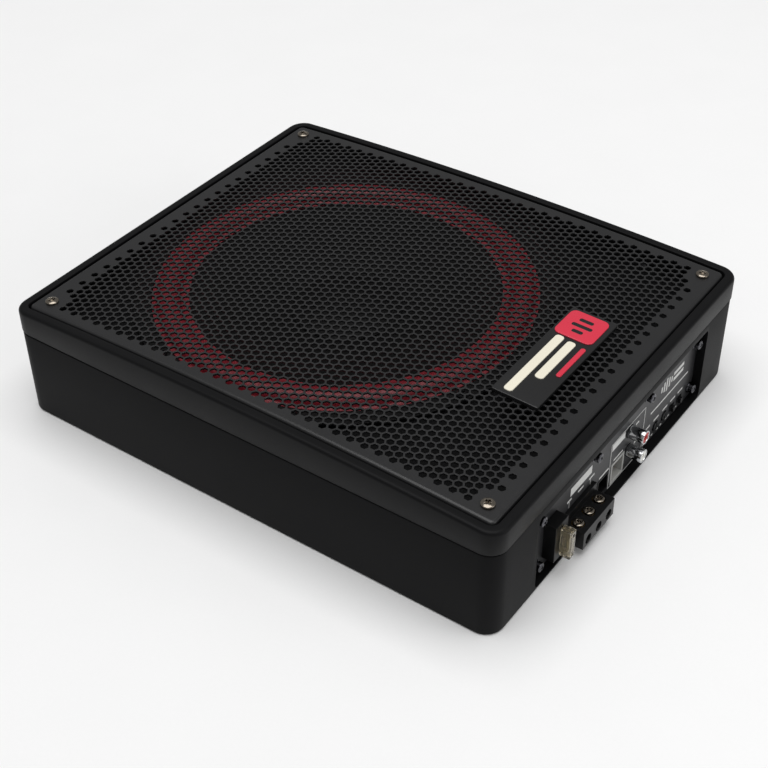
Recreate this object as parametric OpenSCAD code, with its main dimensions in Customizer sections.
// Powered under-seat car subwoofer: a slim tub with a crowned lid and grille, a shallow woofer
// that faces up, and an amplifier whose connections and controls sit in a bay at the +X end.
// Origin: centre of the plan on the resting face. +X points to the control bay, +Z up.

/* [Enclosure] */
// Length of the lid, along X
lid_l = 334; // [325:1:345]
// Width of the lid, along Y
lid_w = 274; // [266:1:282]
// Plan corner radius of the lid
lid_r = 11; // [8:0.5:14]
// Height of the seam between the tub and the lid
seam_z = 57.5; // [57:0.1:58]
// Height of the crown of the lid and the grille at mid length
crown_z = 77.25; // [77:0.25:78.5]
// How much the crown falls from mid length to the grille screws
crown_drop = 3.5; // [2.5:0.1:4]
// Wall thickness of the tub
wall_t = 3.2; // [2.8:0.1:3.4]
// Floor thickness of the tub
floor_t = 2; // [1.8:0.1:2]
// Thickness of the baffle, which carries the woofer
baffle_t = 4.5; // [4:0.1:4.5]

/* [Grille and badge] */
// Length of the recess that holds the grille
recess_l = 322; // [316:1:322]
// Width of the recess that holds the grille
recess_w = 262; // [256:1:262]
// Gap between the grille's edge and the recess wall
groove_w = 1.3; // [1.2:0.1:2]
// Thickness of the grille sheet
grille_t = 1.4; // [1:0.1:1.6]
// Depth of the grille's turned-down rim
rim_h = 4.5; // [3:0.1:5]
// Length of the badge, along Y
badge_l = 89; // [86:1:94]
// Width of the badge, along X
badge_w = 29; // [27:1:31]

/* [Woofer] */
// X of the woofer's axis
woofer_x = -25; // [-28:1:-22]
// Outer radius of the basket flange
flange_r = 127; // [125:0.5:128]
// Radius where the surround meets the flange
surround_out_r = 116.5; // [115:0.5:117]
// Radius where the surround meets the cone
surround_in_r = 98; // [96:0.5:99]
// Radius of the magnet ring
magnet_r = 60; // [50:1:64]
// Outer radius of the voice coil former
former_r = 25.9; // [25.8:0.05:26]

/* [Control bay] */
// Depth of the bay behind the tub's end face
bay_depth = 5.5; // [5:0.1:5.6]
// Lowest Y of the bay opening
bay_y0 = -95; // [-97:0.5:-94]
// Highest Y of the bay opening
bay_y1 = 100; // [98:0.5:100]
// Top of the bay opening
bay_top = 52.5; // [52:0.1:52.6]
// Distance between the power terminals
terminal_pitch = 11.3; // [11:0.1:11.4]
// Outer radius of an RCA jack
rca_r = 4.15; // [4.1:0.05:4.2]
// Length of an RCA jack in front of the panel
rca_l = 10; // [8.5:0.5:11]

/* [Hidden] */
$fn = 96;

// Radius of the crown, from its drop over half the span between the grille screws
screw_x = 150;
screw_y = 119.5;
crown_r = screw_x * screw_x / (2 * crown_drop) + crown_drop / 2;
CROWN_STEPS = 24;

// Heights
gasket_t = 0.5;
tub_top = seam_z - gasket_t;
baffle_top = seam_z + baffle_t;
flange_z = baffle_top + 0.8;
flange_t = 2.4;

// Plan sizes
tub_l = lid_l - 1;
tub_r = lid_r;
grille_l = recess_l - 2 * groove_w;
grille_w = recess_w - 2 * groove_w;
grille_r = 3.4;

// Control bay: the panel's front face and the layers behind it
face_x = tub_l / 2;
panel_x = face_x - bay_depth;
panel_t = 1.6;
pad_t = 1;
lip_t = 3;
panel_gap = 0.2;
bay_rim = 8;
bay_r = 3;

// Places on the panel
SCREW_YZ = [[-86, 43], [-26.5, 43], [35, 43], [95.5, 43], [-86, 9.5], [95.5, 9.5]];
TOP_SCREWS = 4;
block_y = -42.5;
block_x = 168.1;
block_front = 175;
wire_z = 10.7;
fuse_y = -73;
fuse_z = 22;
fuse_gap = 0.4;
fuse_x0 = 168.8;
fuse_x1 = 175.5;
blade_dz = 7;
port_y = -13;
socket_y = 4;
socket_z = 11.2;
rca_y = 16.6;
RCA_Z = [30, 16];
POT_Y = [40.7, 51.7, 63];
SWITCH_Y = [73.2, 83];
control_z = 9.1;
neck_r = rca_r - 0.5;
shell_x0 = 156.1;
shell_wall = 0.7;
light_y = -72.5;
light_z = 6.2;

// Small fits
run_gap = 0.06;
shank_r = 1.45;

// ---------- shared shapes ----------

// Height of the crowned surface at a place along X
function crown_at(x) = crown_z - crown_r + sqrt(crown_r * crown_r - x * x);

// Rounded rectangle about the origin
module plan(l, w, r) {
  square([l - 2 * r, w], center = true);
  square([l, w - 2 * r], center = true);
  for (sx = [-1, 1], sy = [-1, 1])
    translate([sx * (l / 2 - r), sy * (w / 2 - r)])
      circle(r);
}

// Everything under the crowned surface, lowered by drop
module under_crown(drop) {
  span = lid_l + 20;
  top = [for (i = [0:CROWN_STEPS]) let (x = span * (0.5 - i / CROWN_STEPS)) [x, crown_at(x) - drop]];
  rotate([90, 0, 0])
    linear_extrude(height = lid_w + 20, center = true)
      polygon(concat([[-span / 2, -20], [span / 2, -20]], top));
}

// Crowned block that stands on z0
module crowned(l, w, r, z0, drop) {
  intersection() {
    translate([0, 0, z0])
      linear_extrude(height = crown_z)
        plan(l, w, r);
    under_crown(drop);
  }
}

// Box from its lowest and highest corners
module box(a, b) {
  translate(a)
    cube(b - a);
}

// Bar across the bay, along X, with round plan corners in Y and Z
module bay_prism(x0, x1, y0, y1, z0, z1, r) {
  translate([x0, (y0 + y1) / 2, (z0 + z1) / 2])
    rotate([90, 0, 90])
      linear_extrude(height = x1 - x0)
        plan(y1 - y0, z1 - z0, r);
}

// Cylinder along +X
module x_rod(x0, x1, y, z, r) {
  translate([x0, y, z])
    rotate([0, 90, 0])
      cylinder(h = x1 - x0, r = r);
}

// Ring around the Z axis
module ring(z0, z1, r_in, r_out) {
  translate([0, 0, z0])
    difference() {
      cylinder(h = z1 - z0, r = r_out);
      translate([0, 0, -1])
        cylinder(h = z1 - z0 + 2, r = r_in);
    }
}

// Screw that points down from the origin, with its head above
module screw(head_r, head_h, r, l, slot = 0.9) {
  difference() {
    union() {
      cylinder(h = head_h * 0.55, r = head_r);
      translate([0, 0, head_h * 0.55])
        cylinder(h = head_h * 0.45, r1 = head_r, r2 = head_r * 0.72);
      translate([0, 0, -l])
        cylinder(h = l + 0.01, r = r);
    }
    for (a = [0, 90])
      rotate([0, 0, a])
        translate([0, 0, head_h])
          cube([head_r * 1.1, slot, head_h], center = true);
  }
}

// Moves children to the woofer's axis
module at_woofer() {
  translate([woofer_x, 0, 0])
    children();
}

// Y of a power terminal, counted 0 to 2
function terminal_y(i) = block_y + (i - 1) * terminal_pitch;

// ---------- shell and trim ----------

LID_SCREWS = [[-100, 125.6], [30, 125.6], [110, 125.6], [-100, -125.6], [30, -125.6], [110, -125.6]];
INSERT_DX = 140;
INSERT_DY = 112;
STANDOFFS = [[110, -80], [110, 86], [141, -80], [141, 86]];

// Outline of the window behind the panel, with a boss for each panel screw
module bay_window() {
  window_z0 = 3.4;
  window_z1 = 48.5;
  boss_r = 5;
  difference() {
    translate([bay_y0 + 5, window_z0])
      square([bay_y1 - bay_y0 - 10, window_z1 - window_z0]);
    for (i = [0:len(SCREW_YZ) - 1])
      translate(SCREW_YZ[i]) {
        circle(boss_r);
        translate([-boss_r, 0])
          square([2 * boss_r, i < TOP_SCREWS ? boss_r + 2 : 0.1]);
      }
  }
}

// Flat shape drawn in Y and Z, from one place along X to another
module along_x(x0, x1) {
  translate([x0, 0, 0])
    rotate([90, 0, 90])
      linear_extrude(height = x1 - x0)
        children();
}

module base_enclosure() {
  lip_x0 = panel_x - panel_t - pad_t - lip_t;
  color([0.11, 0.11, 0.115])
    difference() {
      union() {
        difference() {
          linear_extrude(height = tub_top)
            plan(tub_l, lid_w, tub_r);
          translate([0, 0, floor_t])
            linear_extrude(height = tub_top)
              plan(tub_l - 2 * wall_t, lid_w - 2 * wall_t, tub_r - wall_t);
        }
        box([lip_x0, bay_y0 - bay_rim, 1], [face_x - 1, bay_y1 + bay_rim, tub_top]);
        for (p = LID_SCREWS)
          translate([p[0], p[1], 1])
            cylinder(h = tub_top - 1, r = 6);
        for (sy = [-1, 1], x = [-100, 0, 100])
          box([x - 6, min(sy * 126, sy * 135), 1], [x + 6, max(sy * 126, sy * 135), tub_top]);
        for (sx = [-1, 1], sy = [-1, 1])
          translate([sx * INSERT_DX, sy * INSERT_DY, 1])
            cylinder(h = 12, r = 8);
        for (p = STANDOFFS)
          translate([p[0], p[1], 1])
            cylinder(h = 5, r = 3);
      }
      bay_prism(panel_x - panel_t - pad_t, face_x + 1, bay_y0, bay_y1, floor_t, bay_top, bay_r);
      along_x(lip_x0 - 1, panel_x)
        bay_window();
      for (p = SCREW_YZ)
        x_rod(lip_x0 - 1, panel_x, p[0], p[1], shank_r + 0.05);
      for (p = LID_SCREWS)
        translate([p[0], p[1], tub_top - 18])
          cylinder(h = 30, r = shank_r + 0.05);
      for (sx = [-1, 1], sy = [-1, 1])
        translate([sx * INSERT_DX, sy * INSERT_DY, -1])
          cylinder(h = 11, r = 4.2);
    }
}

module seam_gasket() {
  inset = 1.2;
  color([0.04, 0.04, 0.04])
    translate([0, 0, tub_top])
      difference() {
        linear_extrude(height = gasket_t)
          plan(tub_l - inset, lid_w - inset, tub_r - inset / 2);
        translate([0, 0, -1])
          linear_extrude(height = gasket_t + 2)
            plan(tub_l - 2 * wall_t + 0.4, lid_w - 2 * wall_t + 0.4, tub_r - wall_t);
      }
}

module top_frame() {
  woofer_hole_r = 118;
  post_r = 4.5;
  color([0.2, 0.2, 0.205])
    difference() {
      union() {
        difference() {
          crowned(lid_l, lid_w, lid_r, seam_z, 0);
          translate([0, 0, baffle_top])
            linear_extrude(height = crown_z)
              plan(recess_l, recess_w, grille_r + groove_w);
        }
        for (sx = [-1, 1], sy = [-1, 1])
          translate([sx * screw_x, sy * screw_y, baffle_top - 1])
            cylinder(h = crown_at(screw_x) - grille_t - 0.6 - baffle_top + 1, r = post_r);
      }
      at_woofer()
        translate([0, 0, seam_z - 1])
          cylinder(h = baffle_t + 2, r = woofer_hole_r);
      for (sx = [-1, 1], sy = [-1, 1])
        translate([sx * screw_x, sy * screw_y, baffle_top - 2])
          cylinder(h = 20, r = shank_r + 0.05);
      for (p = LID_SCREWS)
        translate([p[0], p[1], seam_z - 1])
          cylinder(h = 10, r = 2);
      at_woofer()
        for (a = [22.5:45:350])
          rotate([0, 0, a])
            translate([122.5, 0, seam_z - 1])
              cylinder(h = 10, r = shank_r + 0.05);
    }
}

module lid_screws() {
  color([0.25, 0.25, 0.26])
    for (p = LID_SCREWS)
      translate([p[0], p[1], baffle_top])
        screw(3.2, 2.2, shank_r, 18);
}

module grille() {
  color([0.19, 0.19, 0.2])
    difference() {
      crowned(grille_l, grille_w, grille_r, crown_at(grille_l / 2) - rim_h, 0);
      intersection() {
        linear_extrude(height = crown_z)
          plan(grille_l - 2 * grille_t, grille_w - 2 * grille_t, grille_r - grille_t);
        under_crown(grille_t);
      }
      for (sx = [-1, 1], sy = [-1, 1])
        translate([sx * screw_x, sy * screw_y, seam_z])
          cylinder(h = 30, r = 2);
    }
}

module grille_screws() {
  color([0.72, 0.7, 0.66])
    for (sx = [-1, 1], sy = [-1, 1])
      translate([sx * screw_x, sy * screw_y, crown_at(screw_x - 3.9) + 0.02])
        screw(3.9, 2, shank_r, 10);
}

BADGE_X = 119.5;
BADGE_Y = -1;
BADGE_T = 2.2;
MARK_T = 0.6;

// Badge's own frame: its underside lies on the grille's slope
module on_badge() {
  slope = asin(BADGE_X / crown_r);
  translate([BADGE_X, BADGE_Y, crown_at(BADGE_X) + 0.1])
    rotate([0, slope, 0])
      children();
}

module badge_plate() {
  color([0.05, 0.05, 0.05])
    on_badge()
      linear_extrude(height = BADGE_T)
        plan(badge_w, badge_l, 3);
}

// Raised bar on the badge, from its middle and its size
module badge_bar(x, y, w, l, r) {
  on_badge()
    translate([x, y, BADGE_T])
      linear_extrude(height = MARK_T)
        plan(w, l, r);
}

// Rounded square and the short stripe beside the bars
module badge_emblem() {
  color([0.76, 0.07, 0.16]) {
    badge_bar(-0.7, badge_l / 2 - 14.5, 24.5, 24.5, 4);
    badge_bar(10, -1.2, 3, 29.5, 1.4);
  }
}

// Two plain bars of unlike length
module badge_bars() {
  color([0.9, 0.88, 0.8]) {
    badge_bar(-6.2, -12.7, 5.4, 58, 2);
    badge_bar(2, -4.2, 5.4, 38, 2);
  }
}

module bracket_inserts() {
  color([0.78, 0.62, 0.3])
    for (sx = [-1, 1], sy = [-1, 1])
      translate([sx * INSERT_DX, sy * INSERT_DY, 0.2])
        difference() {
          cylinder(h = 9, r = 4.15);
          translate([0, 0, -1])
            cylinder(h = 9, r = 2.5);
        }
}

// ---------- woofer ----------

YOKE_Z = 4;
MAGNET_Z = 10;
PLATE_Z = 26;
BASKET_Z = 33;
COIL_Z = 21.5;
CONE_Z = 46.5;
CONE_EDGE_Z = flange_z + 1.2;

module basket() {
  landing_z = 41;
  rim_top = flange_z + flange_t;
  color([0.09, 0.09, 0.09])
    at_woofer()
      difference() {
        rotate_extrude($fn = 128)
          polygon([
            [29, BASKET_Z], [57, BASKET_Z], [57, landing_z - 2], [66, landing_z - 2], [115.5, flange_z - 6],
            [115.5, flange_z], [flange_r, flange_z], [flange_r, rim_top], [surround_out_r, rim_top],
            [surround_out_r, flange_z + 1], [113.3, flange_z + 1], [113.3, flange_z - 5], [64, landing_z],
            [54.5, landing_z], [54.5, BASKET_Z + 2], [29, BASKET_Z + 2]
          ]);
        for (a = [0:60:300])
          rotate([0, 0, a + 30])
            translate([88, 0, 50])
              rotate([0, 17, 0])
                cube([30, 46, 24], center = true);
        for (a = [22.5:45:350])
          rotate([0, 0, a])
            translate([122.5, 0, flange_z - 1])
              cylinder(h = 5, r = 2);
      }
}

module basket_gasket() {
  color([0.03, 0.03, 0.03])
    at_woofer()
      difference() {
        ring(baffle_top, flange_z, 118.2, flange_r - 0.5);
        for (a = [22.5:45:350])
          rotate([0, 0, a])
            translate([122.5, 0, baffle_top - 1])
              cylinder(h = 3, r = 2);
      }
}

// Half roll of rubber between the cone and the flange
module surround() {
  mid = (surround_out_r + surround_in_r) / 2 - 1.2;
  roll = 7.4;
  skin = 0.8;
  base_z = CONE_EDGE_Z + 0.3;
  color([0.72, 0.06, 0.1])
    at_woofer()
      rotate_extrude($fn = 128)
        polygon(concat(
          [[surround_in_r - 4, base_z], [mid - roll + skin, base_z]],
          [for (a = [180:-15:0]) [mid + (roll - skin) * cos(a), base_z + 0.78 * (roll - skin) * sin(a)]],
          [[surround_out_r - 0.4, base_z], [surround_out_r - 0.4, base_z + skin], [mid + roll, base_z + skin]],
          [for (a = [10:15:175]) [mid + roll * cos(a), base_z + skin + 0.78 * roll * sin(a)]],
          [[mid - roll, base_z + skin], [surround_in_r - 4, base_z + skin]]
        ));
}

module cone() {
  t = 1.1;
  color([0.04, 0.04, 0.04])
    at_woofer()
      rotate_extrude($fn = 128)
        polygon([
          [former_r + 0.05, CONE_Z], [former_r + 3, CONE_Z], [surround_in_r - 4, CONE_EDGE_Z - t],
          [surround_in_r, CONE_EDGE_Z - t], [surround_in_r, CONE_EDGE_Z + 0.25],
          [surround_in_r - 4.3, CONE_EDGE_Z + 0.25], [former_r + 0.05, CONE_Z + 1.6]
        ]);
}

module dust_cap() {
  cap_r = 34;
  rise = 8;
  dome_r = (cap_r * cap_r + rise * rise) / (2 * rise);
  seat_z = 50.7;
  half = asin(cap_r / dome_r);
  t = 0.8;
  color([0.05, 0.05, 0.05])
    at_woofer()
      translate([0, 0, seat_z + rise - dome_r])
        rotate_extrude($fn = 128)
          polygon(concat(
            [for (i = [0:8]) dome_r * [sin(half * i / 8), cos(half * i / 8)]],
            [for (i = [8:-1:0]) (dome_r - t) * [sin(half * i / 8), cos(half * i / 8)]]
          ));
}

module coil_former() {
  color([0.8, 0.55, 0.25])
    at_woofer()
      ring(COIL_Z, CONE_Z + 2, former_r - 0.5, former_r);
}

module voice_coil() {
  color([0.72, 0.38, 0.2])
    at_woofer()
      ring(COIL_Z + 0.5, COIL_Z + 16, former_r + 0.02, former_r + 1.2);
}

// Corrugated cloth ring between the former and the basket's landing
module spider() {
  waves = 3;
  r0 = former_r + 0.1;
  r1 = 62;
  z = 42.2;
  t = 0.6;
  n = 36;
  color([0.75, 0.68, 0.45])
    at_woofer()
      rotate_extrude($fn = 128)
        polygon(concat(
          [for (i = [0:n]) let (u = i / n) [r0 + (r1 - r0) * u, z - t / 2 + wave(u, waves)]],
          [for (i = [n:-1:0]) let (u = i / n) [r0 + (r1 - r0) * u, z + t / 2 + wave(u, waves)]]
        ));
}

// Height of the spider's corrugation: flat at both edges
function wave(u, waves) = u > 0.75 ? -0.85 * (u - 0.75) / 0.25 : 1.1 * sin(360 * waves * u / 0.75);

module top_plate() {
  color([0.55, 0.55, 0.57])
    at_woofer()
      ring(PLATE_Z, BASKET_Z - 0.02, former_r + 2, magnet_r - 4);
}

module magnet() {
  color([0.22, 0.22, 0.23])
    at_woofer()
      ring(MAGNET_Z + 0.02, PLATE_Z - 0.02, 33, magnet_r);
}

module yoke() {
  pole_r = former_r - 1.3;
  color([0.5, 0.5, 0.52])
    at_woofer()
      difference() {
        union() {
          translate([0, 0, YOKE_Z])
            cylinder(h = MAGNET_Z - YOKE_Z, r = magnet_r - 4);
          translate([0, 0, YOKE_Z])
            cylinder(h = BASKET_Z + 1 - YOKE_Z, r = pole_r);
        }
        translate([0, 0, YOKE_Z - 1])
          cylinder(h = BASKET_Z, r = 9);
      }
}

module woofer_screws() {
  color([0.15, 0.15, 0.16])
    at_woofer()
      for (a = [22.5:45:350])
        rotate([0, 0, a])
          translate([122.5, 0, flange_z + flange_t])
            screw(3.4, 2.2, shank_r, 7);
}

module lead_terminals() {
  color([0.65, 0.5, 0.25])
    at_woofer()
      union() {
        box([57.4, -9, 37.3], [75, 9, 38.95]);
        for (sy = [-1, 1])
          box([74.9, sy * 5 - 2.4, 37.8], [84, sy * 5 + 2.4, 38.6]);
      }
}

// ---------- amplifier ----------

// Holes that the panel needs for what stands in it
module panel_holes(x0, x1) {
  gap = panel_gap;
  box([x0, block_y - 16 - gap, 7.6 - gap], [x1, block_y + 16 + gap, 17.6 + gap]);
  box([x0, fuse_y - 5.5 - gap, fuse_z - 11 - gap], [x1, fuse_y + 5.5 + gap, fuse_z + 11 + gap]);
  box([x0, port_y - 6.5 - gap, 4 - gap], [x1, port_y + 6.5 + gap, 17.6 + gap]);
  box([x0, socket_y - 7.7 - gap, socket_z - 7.6 - gap], [x1, socket_y + 7.7 + gap, socket_z + 7.6 + gap]);
  for (z = RCA_Z)
    x_rod(x0, x1, rca_y, z, rca_r + gap);
  for (y = POT_Y)
    x_rod(x0, x1, y, control_z, 3.6);
  for (y = SWITCH_Y)
    box([x0, y - 3.2, control_z - 2.2], [x1, y + 3.2, control_z + 2.2]);
  x_rod(x0, x1, light_y, light_z, 1.6);
}

module amp_panel() {
  color([0.24, 0.24, 0.245])
    difference() {
      bay_prism(panel_x - panel_t, panel_x, bay_y0 + panel_gap, bay_y1 - panel_gap,
        floor_t + panel_gap, bay_top - panel_gap, bay_r - panel_gap);
      panel_holes(panel_x - panel_t - 1, panel_x + 1);
      for (p = SCREW_YZ)
        x_rod(panel_x - panel_t - 1, panel_x + 1, p[0], p[1], 1.7);
    }
}

module panel_gasket() {
  x1 = panel_x - panel_t;
  color([0.03, 0.03, 0.03])
    difference() {
      bay_prism(x1 - pad_t, x1, bay_y0 + 0.4, bay_y1 - 0.4, floor_t + 0.1, bay_top - 0.4, bay_r - 0.4);
      along_x(x1 - pad_t - 1, x1 + 1)
        bay_window();
      for (p = SCREW_YZ)
        x_rod(x1 - pad_t - 1, x1 + 1, p[0], p[1], 1.7);
      panel_holes(x1 - pad_t - 1, x1 + 1);
    }
}

module panel_screws() {
  washer_t = 0.8;
  color([0.6, 0.6, 0.6])
    for (p = SCREW_YZ)
      translate([panel_x, p[0], p[1]])
        rotate([0, 90, 0])
          union() {
            translate([0, 0, washer_t])
              screw(3, 3.6, shank_r, 5.5);
            cylinder(h = washer_t, r = 3.4);
          }
}

BOARD_X0 = 107;
BOARD_X1 = 145;
BOARD_TOP = 7.6;

module circuit_board() {
  color([0.08, 0.3, 0.16])
    box([BOARD_X0, -86, 6], [BOARD_X1, 92, BOARD_TOP]);
}

module heat_sink() {
  fins = 5;
  color([0.62, 0.63, 0.65])
    union() {
      box([115, -80, BOARD_TOP], [119, 86, 40]);
      for (i = [0:fins - 1])
        box([107.5, -80, BOARD_TOP + 2 + i * 7], [115.1, 86, BOARD_TOP + 3.6 + i * 7]);
    }
}

module transistors() {
  color([0.06, 0.06, 0.06])
    for (i = [0:5])
      translate([119, -66 + i * 24, 0])
        union() {
          box([0, -5, 13], [4.4, 5, 28]);
          for (k = [-1, 0, 1])
            box([1.8, k * 2.54 - 0.4, BOARD_TOP], [2.6, k * 2.54 + 0.4, 13.1]);
        }
}

module inductor() {
  color([0.7, 0.36, 0.18])
    translate([134.2, -64, BOARD_TOP + 5.5])
      rotate_extrude()
        translate([7, 0])
          square([6, 11], center = true);
}

module capacitors() {
  color([0.1, 0.12, 0.2])
    for (i = [0:4])
      translate([134, -40 + i * 15, BOARD_TOP])
        cylinder(h = 24, r = 6);
}

module transformer() {
  color([0.7, 0.6, 0.2])
    union() {
      box([125.5, 40, BOARD_TOP], [143.5, 70, 14]);
      box([125.5, 40, 13.9], [143.5, 46, 30]);
      box([125.5, 64, 13.9], [143.5, 70, 30]);
      box([129, 45.9, 13.9], [140, 64.1, 27]);
    }
}

// ---------- connections ----------

module terminal_block() {
  half_l = 17;
  color([0.03, 0.03, 0.03])
    difference() {
      union() {
        box([panel_x, block_y - half_l, 6.5], [block_front, block_y + half_l, 18.5]);
        box([panel_x, block_y - half_l, 18.4], [panel_x + 2.4, block_y + half_l, 24]);
        box([150, block_y - 16, 7.6], [panel_x + 0.1, block_y + 16, 17.6]);
      }
      for (i = [0:2]) {
        box([157.4, terminal_y(i) - 4.4, 8], [172.6, terminal_y(i) + 4.4, 16.4]);
        box([157.4, terminal_y(i) - 4.4, 7.7], [172.6, terminal_y(i) + 4.4, 8.1]);
        box([149, terminal_y(i) - 2.3, 7.7], [158, terminal_y(i) + 2.3, 8.9]);
        x_rod(172, block_front + 1, terminal_y(i), wire_z, 3.2);
        translate([block_x, terminal_y(i), 16])
          cylinder(h = 10, r = 3.8);
      }
    }
}

module terminal_plates() {
  color([0.8, 0.66, 0.36])
    for (i = [0:2])
      translate([0, terminal_y(i), 0])
        difference() {
          union() {
            box([157.6, -4.1, 7.72], [172.3, 4.1, 8.5]);
            box([157.6, -4.1, 8.4], [158.6, 4.1, 15]);
            box([157.6, -4.1, 14.8], [172.3, 4.1, 15.9]);
            box([148, -2, 7.72], [157.7, 2, 8.5]);
          }
          translate([block_x, 0, 14])
            cylinder(h = 3, r = 2 + run_gap);
        }
}

// Pressure plate that a clamp screw carries down on the wire
module clamp_pad(i) {
  color([0.75, 0.75, 0.74])
    translate([block_x, terminal_y(i), 13.2])
      difference() {
        translate([-3.4, -3.4, 0])
          cube([6.8, 6.8, 1.2]);
        translate([0, 0, -1])
          cylinder(h = 4, r = 2 + run_gap);
      }
}

module clamp_pad_1() { clamp_pad(0); }
module clamp_pad_2() { clamp_pad(1); }
module clamp_pad_3() { clamp_pad(2); }

module clamp_screw(i) {
  color([0.75, 0.74, 0.7])
    translate([block_x, terminal_y(i), 17.6])
      screw(3.2, 2, 2, 4.3, 0.8);
}

module clamp_screw_1() { clamp_screw(0); }
module clamp_screw_2() { clamp_screw(1); }
module clamp_screw_3() { clamp_screw(2); }

module fuse_holder() {
  color([0.03, 0.03, 0.03])
    difference() {
      union() {
        box([panel_x, fuse_y - 6.5, fuse_z - 12.5], [fuse_x0 - fuse_gap, fuse_y + 6.5, fuse_z + 12.5]);
        box([149, fuse_y - 5.5, fuse_z - 11], [panel_x + 0.1, fuse_y + 5.5, fuse_z + 11]);
      }
      for (s = [-1, 1])
        box([148, fuse_y - 0.65, fuse_z + s * blade_dz - 2.9],
          [fuse_x0, fuse_y + 0.65, fuse_z + s * blade_dz + 2.9]);
    }
}

module fuse_contacts() {
  color([0.8, 0.66, 0.36])
    for (s = [-1, 1])
      box([146, fuse_y - 0.5, fuse_z + s * blade_dz - 2.5],
        [159.6, fuse_y + 0.5, fuse_z + s * blade_dz + 2.5]);
}

module fuse_body() {
  color([0.85, 0.85, 0.82, 0.6])
    difference() {
      box([fuse_x0, fuse_y - 2.6, fuse_z - 9.5], [fuse_x1, fuse_y + 2.6, fuse_z + 9.5]);
      box([fuse_x0 - 1, fuse_y - 1.4, fuse_z - 8.4], [fuse_x1 - 1.2, fuse_y + 1.4, fuse_z + 8.4]);
    }
}

module fuse_blades() {
  blade_x0 = 160.8;
  color([0.8, 0.8, 0.78])
    difference() {
      box([blade_x0, fuse_y - 0.33, fuse_z - blade_dz - 1.25], [fuse_x1 - 1.5, fuse_y + 0.33, fuse_z + 8.25]);
      box([blade_x0 - 1, fuse_y - 1, fuse_z - blade_dz + 2.6], [171.4, fuse_y + 1, fuse_z + blade_dz - 2.6]);
      box([172.8, fuse_y - 1, fuse_z - 3], [fuse_x1, fuse_y + 1, fuse_z + 3]);
    }
}

module remote_port() {
  color([0.03, 0.03, 0.03])
    difference() {
      box([147, port_y - 6.5, 4], [panel_x + 0.3, port_y + 6.5, 17.6]);
      box([149, port_y - 5.2, 5.2], [panel_x + 1, port_y + 5.2, 16.4]);
    }
}

module speaker_socket() {
  color([0.75, 0.75, 0.74])
    difference() {
      box([147, socket_y - 7.7, socket_z - 7.6], [panel_x + 0.4, socket_y + 7.7, socket_z + 7.6]);
      box([149, socket_y - 6.2, socket_z - 6.1], [panel_x + 1, socket_y + 6.2, socket_z + 6.1]);
      for (iy = [-1:1], iz = [-1:1])
        x_rod(146, 150, socket_y + 3.6 * iy, socket_z + 3.6 * iz, 0.75);
    }
}

module socket_pins() {
  color([0.8, 0.66, 0.36])
    for (iy = [-1:1], iz = [-1:1])
      x_rod(145.2, 155.5, socket_y + 3.6 * iy, socket_z + 3.6 * iz, 0.6);
}

module rca_frame() {
  color([0.03, 0.03, 0.03])
    difference() {
      box([147, 12, 9.5], [panel_x - panel_t - 0.1, 21.6, 36.5]);
      for (z = RCA_Z)
        x_rod(156, panel_x, rca_y, z, neck_r + 0.05);
    }
}

// Each shell is narrower where it stands in the frame behind the panel
module rca_shells() {
  step_x = panel_x + panel_gap;
  color([0.75, 0.75, 0.72])
    for (z = RCA_Z)
      difference() {
        union() {
          x_rod(shell_x0, step_x + 1, rca_y, z, neck_r);
          x_rod(step_x, panel_x + rca_l, rca_y, z, rca_r);
        }
        x_rod(shell_x0 + 1, panel_x + rca_l + 1, rca_y, z, neck_r - shell_wall);
        x_rod(step_x + shell_wall, panel_x + rca_l + 1, rca_y, z, rca_r - shell_wall);
      }
}

module rca_insert(z) {
  x1 = panel_x + rca_l - 0.3;
  mid_x = panel_x + panel_gap + shell_wall + 0.05;
  insert_wall = shell_wall + 0.05;
  difference() {
    union() {
      x_rod(shell_x0 + 1.1, mid_x + 1, rca_y, z, neck_r - insert_wall);
      x_rod(mid_x, x1, rca_y, z, rca_r - insert_wall);
    }
    x_rod(x1 - 8, x1 + 1, rca_y, z, 1.65);
  }
}

module rca_insert_red() {
  color([0.8, 0.1, 0.08])
    rca_insert(RCA_Z[0]);
}

module rca_insert_white() {
  color([0.92, 0.92, 0.9])
    rca_insert(RCA_Z[1]);
}

// ---------- controls ----------

POT_BACK = 149;
POT_FRONT = 158.2;

module pot_bodies() {
  color([0.15, 0.16, 0.2])
    for (y = POT_Y)
      difference() {
        box([POT_BACK, y - 4.8, control_z - 4.8], [POT_FRONT, y + 4.8, control_z + 4.8]);
        x_rod(POT_BACK + 1.5, POT_FRONT + 1, y, control_z, 1.5 + run_gap);
      }
}

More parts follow.
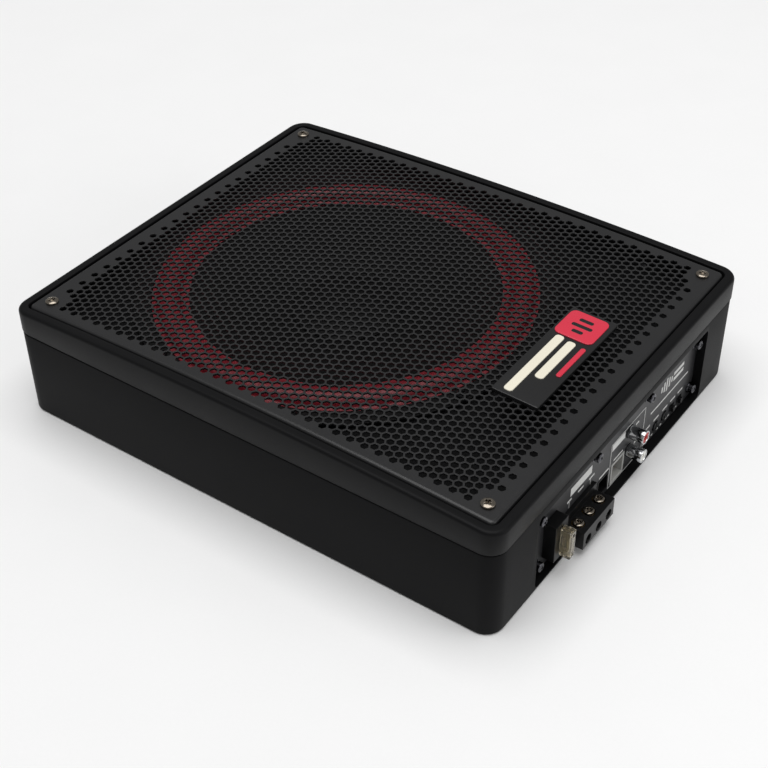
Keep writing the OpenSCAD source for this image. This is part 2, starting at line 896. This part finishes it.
module pot_knob(i) {
  knob_x0 = POT_FRONT + 0.5;
  knob_x1 = panel_x + 0.8;
  color([0.05, 0.05, 0.05])
    difference() {
      union() {
        x_rod(knob_x0, knob_x1, POT_Y[i], control_z, 3);
        x_rod(POT_BACK + 2, knob_x0 + 0.1, POT_Y[i], control_z, 1.5);
      }
      box([knob_x1 - 0.9, POT_Y[i] - 0.5, control_z - 2.4], [knob_x1 + 1, POT_Y[i] + 0.5, control_z + 2.4]);
    }
}

module pot_knob_1() { pot_knob(0); }
module pot_knob_2() { pot_knob(1); }
module pot_knob_3() { pot_knob(2); }

SWITCH_TRAVEL = 2;

module switch_bodies() {
  color([0.4, 0.4, 0.42])
    for (y = SWITCH_Y)
      difference() {
        box([150, y - 4.6, control_z - 3.8], [POT_FRONT, y + 4.6, control_z + 3.8]);
        box([154, y - 3.2, control_z - 2.2], [POT_FRONT + 1, y + 3.2, control_z + 2.2]);
      }
}

// Lever of a slide switch, resting at the low-Y end of its travel
module switch_lever(i) {
  y = SWITCH_Y[i] - SWITCH_TRAVEL / 2;
  color([0.04, 0.04, 0.04])
    union() {
      box([155, y - 1.8, control_z - 1.8], [panel_x + 0.4, y + 1.8, control_z + 1.8]);
      box([panel_x + 0.3, y - 1.4, control_z - 1.8], [panel_x + 2.4, y + 1.4, control_z + 1.8]);
    }
}

module switch_lever_1() { switch_lever(0); }
module switch_lever_2() { switch_lever(1); }

module power_light() {
  color([0.6, 0.75, 0.95])
    x_rod(panel_x - panel_t + 0.05, panel_x + 0.7, light_y, light_z, 1.5);
}

base_enclosure();
seam_gasket();
top_frame();
lid_screws();
grille();
grille_screws();
badge_plate();
badge_emblem();
badge_bars();
bracket_inserts();
basket();
basket_gasket();
surround();
cone();
dust_cap();
coil_former();
voice_coil();
spider();
top_plate();
magnet();
yoke();
woofer_screws();
lead_terminals();
amp_panel();
panel_gasket();
panel_screws();
circuit_board();
heat_sink();
transistors();
inductor();
capacitors();
transformer();
terminal_block();
terminal_plates();
clamp_pad_1();
clamp_pad_2();
clamp_pad_3();
clamp_screw_1();
clamp_screw_2();
clamp_screw_3();
fuse_holder();
fuse_contacts();
fuse_body();
fuse_blades();
remote_port();
speaker_socket();
socket_pins();
rca_frame();
rca_shells();
rca_insert_red();
rca_insert_white();
pot_bodies();
pot_knob_1();
pot_knob_2();
pot_knob_3();
switch_bodies();
switch_lever_1();
switch_lever_2();
power_light();
